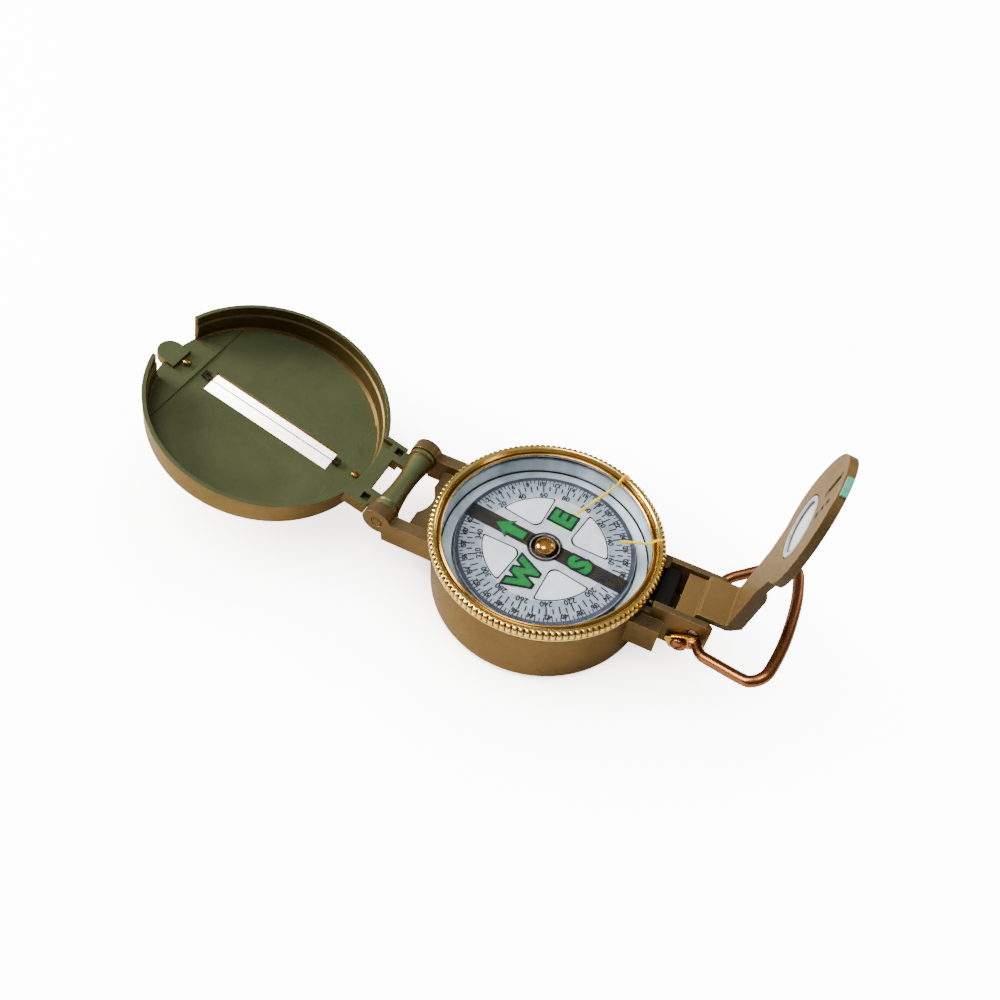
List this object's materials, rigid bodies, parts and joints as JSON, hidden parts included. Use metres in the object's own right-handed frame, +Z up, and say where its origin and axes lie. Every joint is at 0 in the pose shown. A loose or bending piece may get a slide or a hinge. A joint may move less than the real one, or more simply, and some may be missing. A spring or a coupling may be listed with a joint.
{
  "type": "lensatic sighting compass",
  "caption": "Open lensatic compass: round case with glazed dial and turning bezel, dished cover with a sighting wire, folding lens bracket and wire thumb loop.",
  "frame": {"origin": "on the dial's axis, on the flat underside of the case", "axes": "+Z up along the dial's axis; +Y along the sight line, from the lens bracket to the cover hinge; +X to the right of someone who looks along the sight line"},
  "size_m": [0.0612, 0.1709, 0.0737],
  "materials": {
    "olive_paint": "satin olive paint over metal",
    "olive_brass": "satin olive-brass coating",
    "tan_paint": "satin tan coating",
    "polished_gold": "polished",
    "brass": "polished",
    "copper_brown": "bright copper-brown plating",
    "silver_bowl": "satin",
    "steel": "satin",
    "dark_steel": "blackened",
    "card_white": "matte",
    "magnet_black": "blackened magnet steel",
    "clear_glass": "clear",
    "black_rubber": "matte",
    "lume": "matte luminous"
  },
  "bodies": {
    "case": {"case_shell": "olive_brass", "dial_bowl": "silver_bowl", "pivot_post": "steel", "lifter_pin": "steel", "rest_pad": "black_rubber", "bezel_spring": "dark_steel", "cover_hinge_pin": "olive_brass", "bracket_pin": "steel", "loop_screw_left": "copper_brown", "loop_screw_right": "copper_brown"},
    "bezel": {"bezel_ring": "polished_gold", "crystal": "clear_glass", "crystal_gasket": "black_rubber"},
    "compass_card": {"compass_card": "card_white", "magnet_bar": "magnet_black", "jewel_cap": "brass"},
    "cover": {"cover_shell": "olive_paint", "sighting_wire": "steel", "wire_anchor_near": "dark_steel", "wire_anchor_far": "dark_steel", "lume_dot_near": "lume", "lume_dot_far": "lume"},
    "lens_bracket": {"lens_bracket": "tan_paint", "lens": "clear_glass", "lens_ring": "silver_bowl", "lume_dot_sight": "lume"},
    "thumb_loop": {"thumb_loop": "copper_brown"},
    "lock_plunger": {"lock_plunger": "steel"},
    "card_lifter": {"card_lifter": "steel"}
  },
  "joints": [
    {"name": "cover_hinge", "type": "hinge", "parent": "case", "child": "cover", "pos_m": [0, 0.0393, 0.0162], "axis": [1, 0, 0], "range_deg": [-19.1, 160.9]},
    {"name": "lens_bracket_hinge", "type": "hinge", "parent": "case", "child": "lens_bracket", "pos_m": [0, -0.0396, 0.017], "axis": [1, 0, 0], "range_deg": [-97, 0]},
    {"name": "thumb_loop_hinge", "type": "hinge", "parent": "case", "child": "thumb_loop", "pos_m": [0, -0.0376, 0.0134], "axis": [-1, 0, 0], "range_deg": [-55, 20]},
    {"name": "bezel_rotation", "type": "hinge", "parent": "case", "child": "bezel", "pos_m": [0, 0, 0.0202], "axis": [0, 0, 1], "continuous": true},
    {"name": "card_pivot", "type": "hinge", "parent": "case", "child": "compass_card", "pos_m": [0, 0, 0.0153], "axis": [0, 0, 1], "continuous": true},
    {"name": "lock_plunger_slide", "type": "slide", "parent": "case", "child": "lock_plunger", "axis": [0, 1, 0], "range_m": [0, 0.001]},
    {"name": "card_lifter_pivot", "type": "hinge", "parent": "case", "child": "card_lifter", "pos_m": [0, -0.0196, 0.0107], "axis": [1, 0, 0], "range_deg": [0, 4]}
  ],
  "couplings": [
    {"joint": "lock_plunger_slide", "follows": "lens_bracket_hinge", "m_per_rad": -0.00059},
    {"joint": "card_lifter_pivot", "follows": "lens_bracket_hinge", "ratio": -0.0412}
  ]
}
